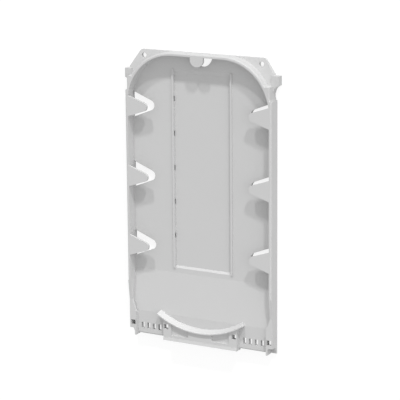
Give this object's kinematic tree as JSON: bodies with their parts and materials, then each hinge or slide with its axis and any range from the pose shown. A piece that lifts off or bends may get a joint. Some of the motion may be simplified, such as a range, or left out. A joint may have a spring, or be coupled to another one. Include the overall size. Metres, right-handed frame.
{
  "type": "fibre splice tray",
  "caption": "Shallow moulded tray with an arched end, side tabs over windows, a sunk bed for a splice holder, a curved fibre guide and slots for tying tubes down",
  "frame": {"origin": "on the plane of the flat back, under the middle of the bounding box", "axes": "X across the tray, Y along it towards the arched end, Z out of its open side"},
  "size_m": [0.1024, 0.1756, 0.0084],
  "materials": {
    "tray": "matte"
  },
  "bodies": {
    "root": {"tray": "tray"}
  },
  "joints": []
}
